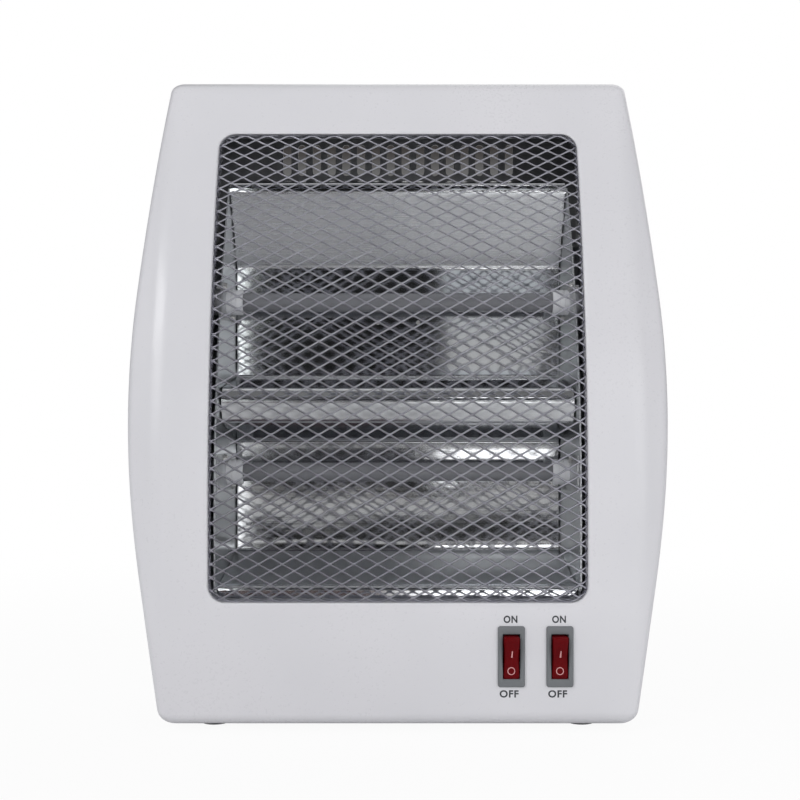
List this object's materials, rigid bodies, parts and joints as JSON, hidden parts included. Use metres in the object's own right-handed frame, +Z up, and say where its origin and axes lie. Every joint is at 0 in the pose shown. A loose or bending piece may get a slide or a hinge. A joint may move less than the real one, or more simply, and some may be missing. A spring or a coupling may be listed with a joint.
{
  "type": "quartz radiant heater",
  "caption": "Free-standing quartz tube heater: curved white bezel, expanded-metal guard, polished twin-trough reflector, red rocker switches and a tip-over cut-off.",
  "frame": {"origin": "on the floor, under the middle of the heater's box", "axes": "+Z up, -Y out of the front, +X to the right seen from the front"},
  "size_m": [0.2762, 0.1226, 0.3432],
  "materials": {
    "white_plastic": "smooth gloss white",
    "guard_steel": "bright zinc plated",
    "reflector_steel": "rolled and polished",
    "quartz": "satin translucent",
    "heating_wire": "oxidised",
    "ceramic": "unglazed ceramic",
    "bracket_steel": "zinc plated",
    "screw_steel": "zinc plated",
    "painted_cover": "light grey powder coat",
    "grey_plastic": "fine texture",
    "red_rocker": "translucent red gloss",
    "brass_tab": "bare",
    "black_plastic": "fine texture",
    "spring_steel": "bare",
    "foot_rubber": "matt"
  },
  "bodies": {
    "housing": {"front_bezel": "white_plastic", "grille_lower": "guard_steel", "grille_middle": "guard_steel", "grille_upper": "guard_steel", "guard_rim": "guard_steel", "reflector": "reflector_steel", "side_plate_left": "reflector_steel", "side_plate_right": "reflector_steel", "quartz_tube_upper": "quartz", "quartz_tube_lower": "quartz", "heating_coil_upper": "heating_wire", "heating_coil_lower": "heating_wire", "end_cap_upper_left": "ceramic", "end_cap_upper_right": "ceramic", "end_cap_lower_left": "ceramic", "end_cap_lower_right": "ceramic", "tube_bracket_upper_left": "bracket_steel", "tube_bracket_upper_right": "bracket_steel", "tube_bracket_lower_left": "bracket_steel", "tube_bracket_lower_right": "bracket_steel", "bracket_screws": "screw_steel", "reflector_screws": "screw_steel", "rear_cover": "painted_cover", "grip_cup": "grey_plastic", "cover_screws": "screw_steel", "switch_frame_left": "grey_plastic", "switch_frame_right": "grey_plastic", "switch_terminals": "brass_tab", "tip_switch_body": "black_plastic", "plunger_spring": "spring_steel", "tip_switch_screws": "screw_steel", "thermal_cutout": "bracket_steel", "cutout_screws": "screw_steel", "terminal_block": "ceramic", "cable_gland": "black_plastic", "gland_nut": "black_plastic", "foot_front_left": "foot_rubber", "foot_front_right": "foot_rubber", "foot_rear_left": "foot_rubber", "foot_rear_right": "foot_rubber"},
    "rocker_left_body": {"rocker_left": "red_rocker"},
    "rocker_right_body": {"rocker_right": "red_rocker"},
    "plunger_body": {"tip_plunger": "white_plastic"}
  },
  "joints": [
    {"name": "rocker_left_tilt", "type": "hinge", "parent": "housing", "child": "rocker_left_body", "pos_m": [0.0571, -0.05579, 0.0385], "axis": [-1, 0, 0], "range_deg": [0, 20]},
    {"name": "rocker_right_tilt", "type": "hinge", "parent": "housing", "child": "rocker_right_body", "pos_m": [0.0815, -0.05579, 0.0385], "axis": [-1, 0, 0], "range_deg": [0, 20]},
    {"name": "plunger_drop", "type": "slide", "parent": "housing", "child": "plunger_body", "axis": [0, 0, 1], "range_m": [-0.006, 0], "stiffness_N_per_m": 50, "springref_m": -0.012, "deforming": ["plunger_spring"]}
  ]
}
